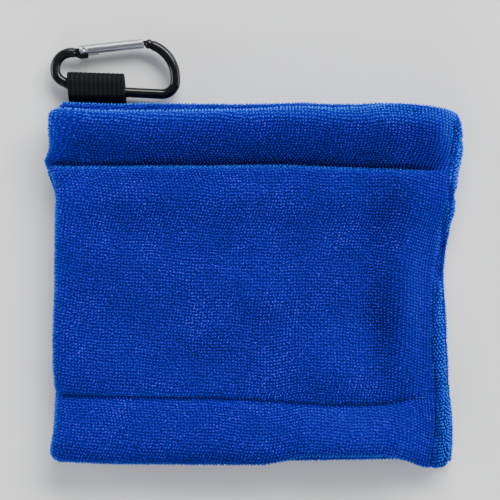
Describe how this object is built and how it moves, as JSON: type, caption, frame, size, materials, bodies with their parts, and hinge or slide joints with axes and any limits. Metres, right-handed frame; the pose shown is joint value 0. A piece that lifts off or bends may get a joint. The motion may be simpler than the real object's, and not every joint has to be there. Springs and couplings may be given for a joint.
{
  "type": "golf towel",
  "caption": "Flat terry cloth pouch towel with hemmed mouth, stitched seams, a webbing loop and a small spring-gate carabiner.",
  "frame": {"origin": "centre of the bounding box's bottom face, on the surface that the pouch lies on", "axes": "+X to the pouch's right, +Y from its bottom edge to its mouth, +Z out of its front"},
  "size_m": [0.1482, 0.1531, 0.0169],
  "materials": {
    "terry": "looped microfibre pile, royal blue",
    "blue_thread": "spun polyester",
    "webbing": "ribbed woven tape, black",
    "black_thread": "spun polyester",
    "black_anodised": "glossy black anodised",
    "brushed_aluminium": "brushed",
    "steel": "plain bright"
  },
  "bodies": {
    "towel": {"front_panel": "terry", "back_panel": "terry", "front_hem_thread": "blue_thread", "back_hem_thread": "blue_thread", "bottom_seam_thread": "blue_thread", "side_seam_thread": "blue_thread", "left_seam_thread": "blue_thread", "webbing_sewn_end": "webbing", "webbing_tack_thread": "black_thread"},
    "loop": {"webbing_loop": "webbing"},
    "carabiner": {"carabiner_frame": "black_anodised", "hinge_rivet": "steel"},
    "gate": {"gate_tube": "brushed_aluminium", "latch_pin": "steel", "gate_spring": "steel"},
    "plunger": {"spring_plunger": "steel"}
  },
  "joints": [
    {"name": "webbing_flex", "type": "hinge", "parent": "towel", "child": "loop", "pos_m": [-0.056, 0.0539, 0.00175], "axis": [1, 0, 0], "range_deg": [-80, 0]},
    {"name": "carabiner_swing", "type": "hinge", "parent": "loop", "child": "carabiner", "pos_m": [-0.0458, 0.05746, 0.0037], "axis": [0.9987, -0.0509, 0], "range_deg": [0, 70]},
    {"name": "gate_open", "type": "hinge", "parent": "carabiner", "child": "gate", "pos_m": [-0.06053, 0.07249, 0.0037], "axis": [0, 0, -1], "range_deg": [0, 25], "stiffness_Nm_per_rad": 0.03, "springref_deg": -11.46},
    {"name": "plunger_slide", "type": "slide", "parent": "gate", "child": "plunger", "axis": [0.9938, 0.1114, 0], "range_m": [0, 0.0004], "deforming": ["gate_spring"]}
  ],
  "couplings": [
    {"joint": "plunger_slide", "follows": "gate_open", "m_per_rad": 0.0009}
  ]
}
